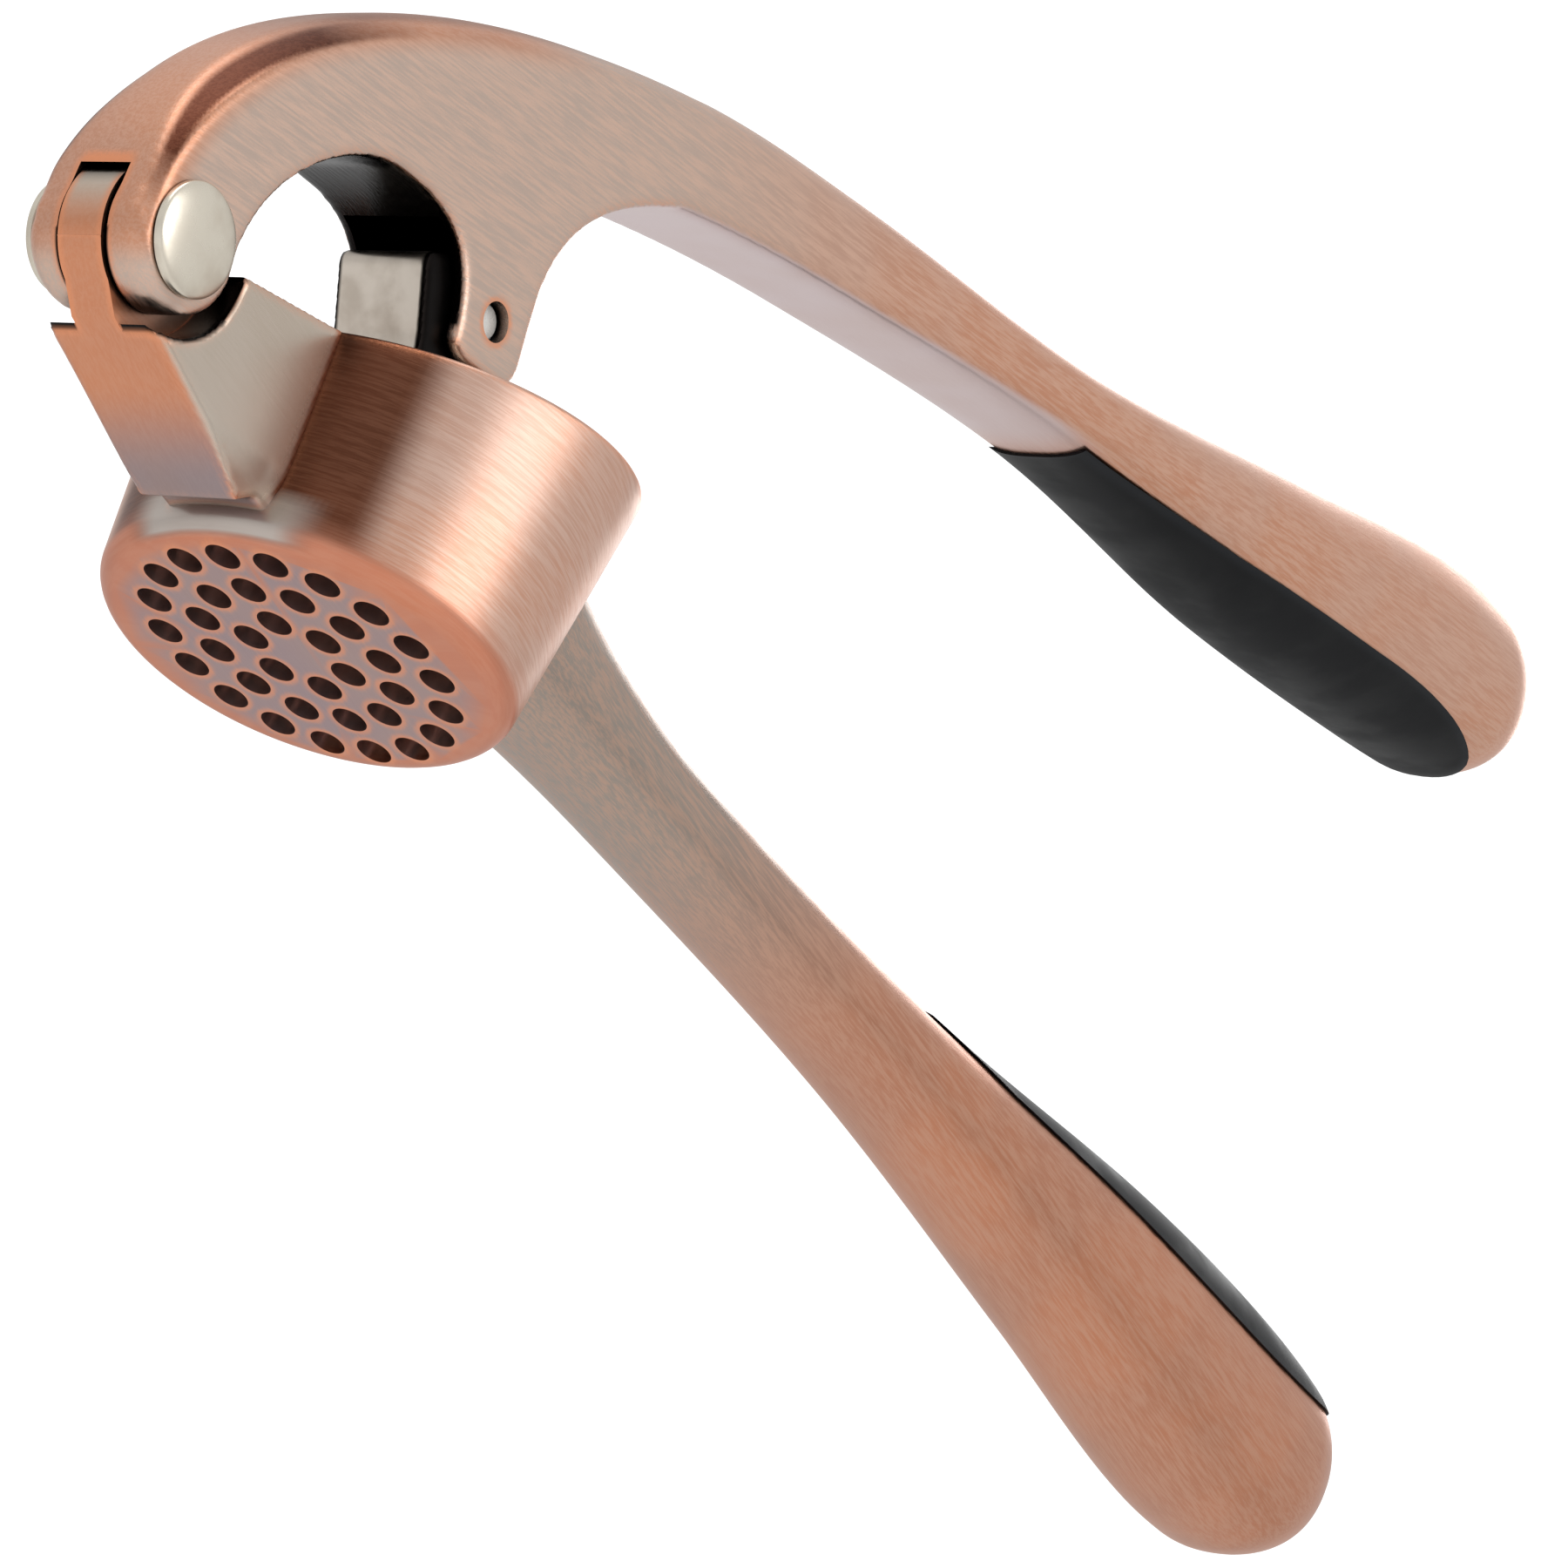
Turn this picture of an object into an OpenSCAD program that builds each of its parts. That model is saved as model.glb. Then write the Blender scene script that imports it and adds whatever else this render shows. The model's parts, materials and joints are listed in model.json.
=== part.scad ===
// Hand garlic press: two cast levers on a riveted hinge, a swinging plunger
// and two soft grips. Millimetres, +Z up along the hopper's axis, +X from the
// hinge towards the handle ends. The origin is the middle of the sieve face.

/* [Levers] */
// How far the levers stand open at rest, in degrees
open_angle = 17; // [4:1:40]
// Hinge axis, ahead of the hopper's axis
hinge_x = -33; // [-34:0.5:-32]
// Hinge axis, above the sieve face
hinge_z = 10.2; // [9.8:0.1:10.6]
// End of the upper handle, behind the hopper's axis
handle_end_x = 164.5; // [158:0.5:167]
// How much shorter the lower handle is
lower_short = 1; // [0:0.5:3]
// Thickness of the upper lever's head, side to side
head_w = 10.6; // [10:0.1:11]
// Width of the head at its front, between the bevels
front_w = 8; // [7.5:0.1:10]

/* [Hinge] */
// Width of the slot between the fork's cheeks
slot_w = 4.4; // [4:0.1:5]
// Gap on each side of the tongue in that slot
slot_gap = 0.3; // [0.2:0.05:0.5]
// Radius of the round cheeks of the fork
boss_r = 5.1; // [5:0.1:5.5]
// Radius of the seat in the neck that the cheeks turn in
seat_r = 6.65; // [6.3:0.05:7]
// Radius of the hollow rivet's barrel
barrel_r = 2.5; // [2.2:0.1:2.8]
// Radial clearance of the barrel in the tongue
running_gap = 0.06; // [0.02:0.01:0.1]
// Radius of the domed rivet heads
rivet_head_r = 4; // [3.6:0.1:4.4]
// Thickness of the rivet heads at their edge
rivet_rim_h = 0.5; // [0.3:0.1:0.8]
// Rise of their domes above the edge
rivet_dome_h = 0.7; // [0.5:0.1:1.2]

/* [Hopper] */
// Half length of the hopper at its base, along X
hopper_a = 14.2; // [14:0.1:15]
// Half width of the hopper at its base, along Y
hopper_b = 16.6; // [16.4:0.1:17.4]
// Height of the rim on the hopper's axis
rim_z = 19.6; // [19:0.1:20.5]
// Rise of the rim towards the handle, in degrees
rim_tilt = 11; // [8:0.5:12]
// Wall thickness
wall = 1.5; // [1.4:0.1:1.8]
// Thickness of the sieve plate
sieve_t = 1.9; // [1.6:0.1:2.2]
// Radius of the sieve holes
sieve_hole_r = 1.35; // [1:0.05:1.4]
// Distance between the rings of sieve holes
sieve_pitch = 3.75; // [3.6:0.05:3.75]

/* [Plunger] */
// Gap between the plunger's foot and the hopper's wall
foot_gap = 1.1; // [0.9:0.1:1.4]
// Thickness of the foot
foot_t = 2.6; // [2:0.1:3]
// Gap under the foot when the levers are closed
foot_clear = 0.3; // [0.2:0.1:1]
// Width of the plunger's shank
shank_w = 8.1; // [7.6:0.1:8.2]
// Width of the slot in the lug that holds the shank
lug_slot_w = 8.7; // [8.5:0.1:8.9]
// Radius of the plunger's pin
plunger_pin_r = 1.5; // [1.3:0.05:1.6]
// Turn of the plunger against the upper lever, per degree of opening
swing_ratio = -0.28; // [-0.35:0.01:-0.2]

/* [Grips] */
// Start of both grips along the handles
grip_start_x = 80; // [78:1:84]
// How far the rubber stands proud of the metal
grip_proud = 0.25; // [0.1:0.05:0.4]

/* [Hidden] */

copper = [0.74, 0.55, 0.46];
silver = [0.82, 0.80, 0.75];
steel = [0.62, 0.60, 0.57];
rubber = [0.10, 0.11, 0.12];

head_y = head_w / 2;
lower_end_x = handle_end_x - lower_short;
// Length of the round ends of the handles
end_round = 11;
tongue_w = slot_w - 2 * slot_gap;
tongue_r = 5.3;
tongue_bore_r = barrel_r + running_gap;
tongue_room_r = tongue_r + 0.45;
stud_r = 1.5;
neck_w = 10;
neck_low_w = 8.6;
bevel_l = 1.6;
// The plunger's pin, with the levers closed
pin_x = 0.4;
pin_z = 18.5;
foot_base_z = sieve_t + foot_clear;
rest_lean = open_angle * (1 + swing_ratio);
oval_sides = 48;
handle_sides = 20;
base_round = 1.5;
flare_a = 0.102;
flare_b = 0.098;
hopper_drift = -0.061;
cut_top = 30;
// Metal left at the closed end of the barrel
bore_floor = 1;
// Gap between the stud's tip and the bottom of the barrel's bore
stud_short = 0.2;
stud_l = head_w + rivet_rim_h - bore_floor - stud_short;
// How far each end of the plunger's pin lies below the head's side
pin_sunk = 0.9;
// Rounding at the foot's lower edge, and its bevel above
foot_edge = 0.5;
foot_bevel_h = 1;
foot_bevel_w = 1.4;

// Points of a cubic curve from a to d, pulled towards b and c
function curve(a, b, c, d, n = 8) =
    [for (i = [0 : n])
        let (u = i / n, v = 1 - u)
        v * v * v * a + 3 * v * v * u * b + 3 * v * u * u * c + u * u * u * d];

// Upper handle with the levers closed: x, underside, top, half width, and how
// square the section is above and below
upper_sections = [
    [8, 32, 41.5, 5.3, 4, 9],
    [20, 35.5, 45, 5.3, 3.6, 9],
    [44, 38.5, 47, 5.1, 3, 7],
    [80, 40.5, 48, 6, 2.5, 3],
    [116, 38, 53, 8, 2.2, 2.2],
    [146, 38.5, 57, 8.5, 2.2, 2.2],
    [168, 40, 55, 8, 2.2, 2.2]];

// Lower handle: the same columns
lower_sections = [
    [10, 8, 22.5, 8.5, 2.4, 2.4],
    [24, 10.5, 20.5, 6.5, 2.4, 2.4],
    [40, 12.5, 20.5, 5.7, 2.4, 2.4],
    [80, 16, 25.5, 6.5, 2.2, 2.2],
    [118, 16.5, 33, 8, 2.2, 2.2],
    [146, 16.5, 36.5, 8.5, 2.2, 2.2],
    [168, 21, 36, 8, 2.2, 2.2]];

// Side outline of the upper lever's head with the levers closed: its crown from
// the hinge to the handle, the lug's back and tip, and the arch's inside
arch_outline = concat(
    curve([-37.8, 9.5], [-38.5, 27], [-13.5, 40.5], [20, 44.8], 12),
    curve([18, 35.2], [8, 31.5], [4.5, 27], [4.5, 20]),
    [[4.5, 16], [3.5, 14.5], [-2, 14.5], [-3.5, 15.5]],
    curve([-3.5, 17], [-4, 22], [-7, 24], [-13.5, 24]),
    curve([-14, 24], [-19, 24], [-27.5, 18.5], [-28, 11]),
    [[hinge_x, hinge_z]]);

// Room for the plunger's shank in the lug, from the plunger's pin
lug_slot = [
    [-9.2, -2.5], [-9.4, 3.6], [-7.6, 5], [-2, 4.6], [2.2, 3.6], [4.2, 1], [6, -8],
    [-6, -8]];

// Side outline of the plunger's shank, from its pin
shank_outline = [
    [-7.9, 1.0], [-7.5, 1.9], [-6.4, 2.2], [-2, 3.1], [0, 3.4], [2.0, 2.8],
    [3.2, 1.2], [3.4, 0], [3.4, -5], [3.8, -14], [-5.4, -14], [-5.3, -6.5],
    [-5.9, -4.0]];

// Web that joins the round tongue to the neck
tongue_web = [[-37.2, 6.9], [-32.2, 3.7], [-22, 4], [-24, 11], [-29, 12.5]];

// Room in the fork for that web over the whole swing, from the hinge
fork_room = [[-8, -8], [6.5, -8], [4.5, 0], [2, 5.3], [-5, 2.8], [-8, 2.8]];

// Neck between the tongue and the hopper: its full depth, and its flat sides
neck_outline = [
    [-32.3, 3.7], [-16.9, 0.7], [-15.6, 2], [-9, 2], [-9, 19.6], [-16.9, 16.3],
    [-28.5, 11.9], [-33, 10.2]];
neck_side = [
    [-32, 4.2], [-23, 2.5], [-18, 3.5], [-15.5, 5], [-9, 7], [-9, 19.4],
    [-16.9, 16.1], [-28.5, 11.7]];

// Underside of the metal over each grip
upper_split = concat(
    [[grip_start_x, 41], [105, 41.2]],
    curve([130, 42], [150, 43], [160, 40], [161, 35]));
lower_split = concat(
    [[grip_start_x, 25], [92, 25.5]],
    curve([104, 27], [128, 30], [160, 31], [161, 38]));

function sgn_pow(v, e) = sign(v) * pow(abs(v), e);

// Smooth value of column k at x, through the rows of a table of sections
function row(t, i) = t[max(0, min(len(t) - 1, i))];
function slope(t, i, k) =
    (row(t, i + 1)[k] - row(t, i - 1)[k]) / (row(t, i + 1)[0] - row(t, i - 1)[0]);
function span(t, x, i = 0) = i >= len(t) - 2 || x < t[i + 1][0] ? i : span(t, x, i + 1);
function column(t, x, k) =
    let (i = span(t, x), l = t[i + 1][0] - t[i][0], u = (x - t[i][0]) / l, v = 1 - u)
    v * v * (1 + 2 * u) * t[i][k] + u * u * (1 + 2 * v) * t[i + 1][k]
    + l * u * v * (v * slope(t, i, k) - u * slope(t, i + 1, k));

// One closed section of a handle across X, shrunk towards the round end
function handle_ring(t, x, end_x, round_l, grow) =
    let (over = max(0, x - (end_x - round_l)) / round_l,
         k = sqrt(max(0.0004, 1 - over * over)),
         low = column(t, x, 1) - grow, high = column(t, x, 2) + grow,
         mid = (low + high) / 2, h = k * (high - low) / 2,
         w = k * (column(t, x, 3) + grow))
    [for (j = [0 : handle_sides - 1])
        let (a = 360 * (j + 0.5) / handle_sides,
             e = 2 / column(t, x, a < 180 ? 4 : 5))
        [x, w * sgn_pow(cos(a), e), mid + h * sgn_pow(sin(a), e)]];

// Stations: even along the handle, then closer towards the round end
function handle_stations(x0, end_x, round_l, n, m) = concat(
    [for (i = [0 : n - 1]) x0 + (end_x - round_l - x0) * i / n],
    [for (i = [0 : m]) end_x - round_l * (1 - sin(90 * i / m))]);

function oval(a, b, x, z) =
    [for (j = [0 : oval_sides - 1])
        let (t = 360 * j / oval_sides) [x + a * cos(t), b * sin(t), z]];

// Closed solid through a list of rings with the same number of points
module skin(rings) {
    n = len(rings[0]);
    last = len(rings) - 1;
    side = [for (i = [0 : last - 1], j = [0 : n - 1])
        let (a = i * n + j, b = i * n + (j + 1) % n) [a, a + n, b + n, b]];
    ends = [[for (j = [0 : n - 1]) j], [for (j = [n - 1 : -1 : 0]) last * n + j]];
    polyhedron([for (r = rings) each r], concat(ends, side), convexity = 8);
}

module side_plate(points, width) {
    rotate([90, 0, 0])
        linear_extrude(width, center = true, convexity = 6)
            polygon(points);
}

module across(radius, width) {
    rotate([90, 0, 0])
        cylinder(r = radius, h = width, center = true, $fn = 64);
}

module at_hinge() {
    translate([hinge_x, 0, hinge_z])
        children();
}

// Moves what is drawn for closed levers to the rest pose
module opened() {
    at_hinge()
        rotate([0, -open_angle, 0])
            translate([-hinge_x, 0, -hinge_z])
                children();
}

// Puts what is drawn round the plunger's pin in its place at rest
module on_plunger_pin() {
    opened()
        translate([pin_x, 0, pin_z])
            rotate([0, open_angle - rest_lean, 0])
                children();
}

module handle(t, x0, end_x, grow = 0) {
    skin([for (x = handle_stations(x0, end_x + grow, end_round, 15, 5))
        handle_ring(t, x, end_x + grow, end_round, grow)]);
}

// Everything on the rubber's side of a split line
module grip_room(split, far_z) {
    last = split[len(split) - 1];
    side_plate(concat(split, [[last[0], far_z], [grip_start_x, far_z]]), 40);
}

module hopper_shell(inset, z0, z1) {
    a = hopper_a - inset;
    b = hopper_b - inset;
    skin([for (z = [z0, z1])
        oval(a + flare_a * z, b + flare_b * z, hopper_drift * z, z)]);
}

module hopper_outside() {
    r = base_round;
    skin(concat(
        [for (t = [0, 22.5, 45, 67.5, 90])
            let (d = r * (1 - sin(t)) + 0.5 * (1 - t / 90), z = r * (1 - cos(t)))
            oval(hopper_a + flare_a * z - d, hopper_b + flare_b * z - d,
                hopper_drift * z, z)],
        [oval(hopper_a + flare_a * cut_top, hopper_b + flare_b * cut_top,
            hopper_drift * cut_top, cut_top)]));
}

module above_rim() {
    translate([0, 0, rim_z])
        rotate([0, -rim_tilt, 0])
            translate([-26, -30, 0])
                cube([46, 60, 30]);
}

module sieve_holes() {
    for (ring = [1 : 3], i = [0 : 6 * ring - 1])
        rotate([0, 0, 360 * i / (6 * ring)])
            translate([sieve_pitch * ring, 0, -1])
                cylinder(r = sieve_hole_r, h = sieve_t + 2, $fn = 24);
}

module neck() {
    difference() {
        union() {
            side_plate(neck_outline, neck_low_w);
            side_plate(neck_side, neck_w);
        }
        at_hinge()
            across(seat_r, neck_w + 2);
    }
    difference() {
        union() {
            at_hinge()
                across(tongue_r, tongue_w);
            side_plate(tongue_web, tongue_w);
        }
        at_hinge()
            across(tongue_bore_r, slot_w);
    }
}

module lower_lever() {
    color(copper)
        difference() {
            union() {
                neck();
                difference() {
                    hopper_outside();
                    above_rim();
                }
                handle(lower_sections, 10, lower_end_x);
            }
            hopper_shell(wall, sieve_t, cut_top);
            sieve_holes();
            grip_room(lower_split, 50);
        }
}

// The head of the upper lever in plan, with its front corners bevelled
module head_plan() {
    front_x = hinge_x - boss_r;
    linear_extrude(50)
        polygon([[front_x - 1, -front_w / 2], [front_x, -front_w / 2],
            [front_x + bevel_l, -head_y], [20, -head_y], [20, head_y],
            [front_x + bevel_l, head_y], [front_x, front_w / 2],
            [front_x - 1, front_w / 2]]);
}

module upper_lever() {
    color(copper)
        opened()
            difference() {
                union() {
                    intersection() {
                        head_plan();
                        union() {
                            side_plate(arch_outline, head_w);
                            at_hinge()
                                across(boss_r, head_w);
                        }
                    }
                    handle(upper_sections, 12, handle_end_x);
                }
                at_hinge()
                    across(barrel_r, head_w + 2);
                at_hinge()
                    across(tongue_room_r, slot_w);
                at_hinge()
                    side_plate(fork_room, slot_w);
                translate([pin_x, 0, pin_z]) {
                    across(plunger_pin_r, head_w + 2);
                    side_plate(lug_slot, lug_slot_w);
                }
                grip_room(upper_split, 30);
            }
}

// A domed rivet head that rises from a cheek, towards +Y
module rivet_head() {
    dome_r = (rivet_head_r * rivet_head_r + rivet_dome_h * rivet_dome_h) / (2 * rivet_dome_h);
    head_h = rivet_rim_h + rivet_dome_h;
    rotate([-90, 0, 0])
        intersection() {
            cylinder(r = rivet_head_r, h = head_h, $fn = 64);
            translate([0, 0, head_h - dome_r])
                sphere(r = dome_r, $fn = 128);
        }
}

module hinge_barrel() {
    color(silver)
        at_hinge()
            difference() {
                union() {
                    translate([0, head_y, 0])
                        rivet_head();
                    across(barrel_r, head_w);
                }
                translate([0, -bore_floor, 0])
                    across(stud_r, head_w);
            }
}

module hinge_stud() {
    color(silver)
        at_hinge() {
            translate([0, -head_y, 0])
                rotate([0, 0, 180])
                    rivet_head();
            translate([0, -(rivet_rim_h + bore_floor + stud_short) / 2, 0])
                across(stud_r, stud_l);
        }
}

module plunger() {
    foot_z = foot_base_z - pin_z;
    foot_a = hopper_a - wall - foot_gap;
    foot_b = hopper_b - wall - foot_gap;
    color(steel)
        on_plunger_pin()
            difference() {
                union() {
                    side_plate(shank_outline, shank_w);
                    translate([-pin_x, 0, 0])
                        skin([
                            oval(foot_a - foot_edge, foot_b - foot_edge, 0, foot_z),
                            oval(foot_a, foot_b, 0, foot_z + foot_edge),
                            oval(foot_a, foot_b, 0, foot_z + foot_t - foot_bevel_h),
                            oval(foot_a - foot_bevel_w, foot_b - foot_bevel_w, 0,
                                foot_z + foot_t)]);
                }
                across(plunger_pin_r + running_gap, shank_w + 2);
            }
}

module plunger_pin() {
    color(silver)
        opened()
            translate([pin_x, 0, pin_z])
                across(plunger_pin_r, head_w - 2 * pin_sunk);
}

module upper_grip() {
    color(rubber)
        opened()
            intersection() {
                handle(upper_sections, 70, handle_end_x, grip_proud);
                grip_room(upper_split, 30);
            }
}

module lower_grip() {
    color(rubber)
        intersection() {
            handle(lower_sections, 70, lower_end_x, grip_proud);
            grip_room(lower_split, 50);
        }
}

lower_lever();
upper_lever();
hinge_barrel();
hinge_stud();
plunger();
plunger_pin();
upper_grip();
lower_grip();
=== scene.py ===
import json
import math

import bpy
import numpy as np
from mathutils import Matrix, Vector


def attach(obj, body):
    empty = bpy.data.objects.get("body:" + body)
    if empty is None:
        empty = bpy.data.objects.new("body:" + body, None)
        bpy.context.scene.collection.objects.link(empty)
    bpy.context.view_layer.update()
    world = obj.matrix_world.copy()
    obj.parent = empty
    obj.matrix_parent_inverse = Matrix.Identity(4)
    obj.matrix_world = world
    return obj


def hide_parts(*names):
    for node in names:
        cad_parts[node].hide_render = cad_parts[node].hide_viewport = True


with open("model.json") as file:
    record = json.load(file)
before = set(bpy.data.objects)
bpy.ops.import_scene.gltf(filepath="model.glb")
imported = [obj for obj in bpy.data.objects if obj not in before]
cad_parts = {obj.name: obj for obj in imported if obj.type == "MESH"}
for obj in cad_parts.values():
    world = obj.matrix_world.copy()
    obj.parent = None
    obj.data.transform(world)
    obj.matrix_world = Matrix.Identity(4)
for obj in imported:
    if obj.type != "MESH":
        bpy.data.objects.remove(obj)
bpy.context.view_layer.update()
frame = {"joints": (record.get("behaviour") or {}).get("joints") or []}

mm = 0.001
joints = {j["name"]: j for j in frame["joints"]}
hinge = Vector(joints["lever_hinge"]["pos_m"]) / mm
openAngle = math.radians(-joints["lever_hinge"]["range_deg"][0])
# what is drawn with the levers closed goes to its place at rest with this
opened = (Matrix.Translation(hinge) @ Matrix.Rotation(-openAngle, 4, "Y")
          @ Matrix.Translation(-hinge))
plungerPin = opened.inverted() @ (Vector(joints["plunger_swing"]["pos_m"]) / mm)


# mesh helpers: all in millimetres until a piece is finished

def newObject(name, verts, faces):
    mesh = bpy.data.meshes.new(name)
    mesh.from_pydata([tuple(v) for v in verts], [], faces)
    mesh.validate()
    mesh.update()
    obj = bpy.data.objects.new(name, mesh)
    bpy.context.scene.collection.objects.link(obj)
    return obj


def loft(name, rings):
    # closed skin through rings with the same number of points
    n = len(rings[0])
    verts = [p for ring in rings for p in ring]
    faces = [[i * n + j, (i + 1) * n + j, (i + 1) * n + (j + 1) % n, i * n + (j + 1) % n]
             for i in range(len(rings) - 1) for j in range(n)]
    faces.append(list(range(n)))
    faces.append(list(range(len(verts) - 1, len(verts) - n - 1, -1)))
    obj = newObject(name, verts, faces)
    faceOutwards(obj)
    return obj


def faceOutwards(obj):
    co = coords(obj)
    tris = []
    for p in obj.data.polygons:
        v = list(p.vertices)
        tris += [(v[0], v[k], v[k + 1]) for k in range(1, len(v) - 1)]
    tris = np.array(tris)
    a, b, c = co[tris[:, 0]], co[tris[:, 1]], co[tris[:, 2]]
    if np.einsum("ij,ij->i", a, np.cross(b, c)).sum() < 0:
        obj.data.flip_normals()


def coords(obj):
    co = np.empty(len(obj.data.vertices) * 3)
    obj.data.vertices.foreach_get("co", co)
    return co.reshape(-1, 3)


def setCoords(obj, co):
    obj.data.vertices.foreach_set("co", co.ravel())
    obj.data.update()


def plate(name, outline, low, high):
    # side outline in XZ, as thick as from low to high along Y
    return loft(name, [[(x, y, z) for x, z in outline] for y in (low, high)])


def disc(name, radius, low, high, centre, sides=96):
    ring = [(centre[0] + radius * math.cos(math.tau * i / sides),
             centre[1] + radius * math.sin(math.tau * i / sides)) for i in range(sides)]
    return plate(name, ring, low, high)


def oval(a, b, x, z, sides=160):
    return [(x + a * math.cos(math.tau * i / sides), b * math.sin(math.tau * i / sides), z)
            for i in range(sides)]


def lathe(name, profile, centre, side=1, turns=96):
    # profile of (radius, distance along Y) turned about a line along Y
    rings = [[(centre[0] + r * math.cos(math.tau * i / turns), side * y,
               centre[1] + r * math.sin(math.tau * i / turns)) for i in range(turns)]
             for r, y in profile]
    return loft(name, rings)


def curve(a, b, c, d, n=24):
    # cubic from a to d, pulled towards b and c
    a, b, c, d = (np.array(p, float) for p in (a, b, c, d))
    steps = [i / n for i in range(n + 1)]
    return [tuple((1 - u) ** 3 * a + 3 * (1 - u) ** 2 * u * b
                  + 3 * (1 - u) * u * u * c + u ** 3 * d) for u in steps]


def useModifiers(obj):
    dg = bpy.context.evaluated_depsgraph_get()
    mesh = bpy.data.meshes.new_from_object(obj.evaluated_get(dg))
    obj.modifiers.clear()
    old, obj.data = obj.data, mesh
    bpy.data.meshes.remove(old)
    return obj


def fuse(name, parts, voxel, rounds, strength=0.5):
    # one skin over overlapping solids, with its edges and inside corners softened
    verts, faces = [], []
    for p in parts:
        faces += [[len(verts) + v for v in f.vertices] for f in p.data.polygons]
        verts += [tuple(v.co) for v in p.data.vertices]
        bpy.data.objects.remove(p)
    obj = newObject(name, verts, faces)
    remesh = obj.modifiers.new("skin", "REMESH")
    remesh.mode = "VOXEL"
    remesh.voxel_size = voxel
    smooth = obj.modifiers.new("soften", "SMOOTH")
    smooth.factor = strength
    smooth.iterations = rounds
    return useModifiers(obj)


def combine(obj, other, how):
    m = obj.modifiers.new("bool", "BOOLEAN")
    m.operation = how
    m.object = other
    m.solver = "MANIFOLD"
    useModifiers(obj)
    bpy.data.objects.remove(other)
    return obj


def cut(obj, *others):
    for other in others:
        combine(obj, other, "DIFFERENCE")
    return obj


def finishPiece(obj, name, body, replaced, material, place=None, masks=None, crease=32):
    # soft zones for its material, then to its place in metres, riding on its body
    obj.name = name
    obj.data.name = name
    if masks:
        for label, value in masks(coords(obj), normals(obj)).items():
            zone = obj.data.attributes.new(label, "FLOAT", "POINT")
            zone.data.foreach_set("value", np.clip(value, 0, 1).astype(np.float32))
    obj.data.transform(Matrix.Scale(mm, 4) @ (place or Matrix.Identity(4)))
    obj.data.shade_smooth()
    obj.data.set_sharp_from_angle(angle=math.radians(crease))
    obj.data.materials.clear()
    obj.data.materials.append(material)
    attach(obj, body)
    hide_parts(replaced)
    return obj


def normals(obj):
    n = np.empty(len(obj.data.vertices) * 3)
    obj.data.vertex_normals.foreach_get("vector", n)
    return n.reshape(-1, 3)


def ease(value, low, high):
    # 0 on low's side and 1 on high's, with a soft step between them
    t = np.clip((value - low) / (high - low), 0, 1)
    return t * t * (3 - 2 * t)


def nearestOnLine(points, line):
    # distance to a polyline in XZ, and how far along it the nearest place is
    line = np.array(line, float)
    a, d = line[:-1], np.diff(line, axis=0)
    length = np.linalg.norm(d, axis=1)
    before = np.concatenate([[0], np.cumsum(length)[:-1]])
    best = np.full(len(points), 1e9)
    along = np.zeros(len(points))
    for i in range(len(a)):
        t = np.clip((points - a[i]) @ d[i] / length[i] ** 2, 0, 1)
        gap = np.linalg.norm(points - a[i] - t[:, None] * d[i], axis=1)
        closer = gap < best
        best[closer] = gap[closer]
        along[closer] = (before[i] + t * length[i])[closer]
    return best, along


# handle sections: x, underside, top, half width, squareness above and below

def slope(table, i, k):
    low, high = table[max(0, i - 1)], table[min(len(table) - 1, i + 1)]
    return (high[k] - low[k]) / (high[0] - low[0])


def column(table, x, k):
    i = 0
    while i < len(table) - 2 and x >= table[i + 1][0]:
        i += 1
    length = table[i + 1][0] - table[i][0]
    u = (x - table[i][0]) / length
    v = 1 - u
    return (v * v * (1 + 2 * u) * table[i][k] + u * u * (1 + 2 * v) * table[i + 1][k]
            + length * u * v * (v * slope(table, i, k) - u * slope(table, i + 1, k)))


def handleRing(table, x, end, roundLength, grow, sides=72):
    over = max(0, x - (end - roundLength)) / roundLength
    k = math.sqrt(max(0.0004, 1 - over * over))
    low, high = column(table, x, 1) - grow, column(table, x, 2) + grow
    middle, h, w = (low + high) / 2, k * (high - low) / 2, k * (column(table, x, 3) + grow)
    ring = []
    for j in range(sides):
        a = math.tau * (j + 0.5) / sides
        power = 2 / column(table, x, 4 if math.sin(a) > 0 else 5)
        c, s = math.cos(a), math.sin(a)
        ring.append((x, w * math.copysign(abs(c) ** power, c),
                     middle + h * math.copysign(abs(s) ** power, s)))
    return ring


def handle(name, v, start, grow=0, roundLength=11):
    table, end = v["sections"], v["end"] + grow
    straight = [start + (end - roundLength - start) * i / 90 for i in range(90)]
    rounded = [end - roundLength * (1 - math.sin(math.pi / 2 * i / 16)) for i in range(17)]
    return loft(name, [handleRing(table, x, end, roundLength, grow) for x in straight + rounded])


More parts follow.
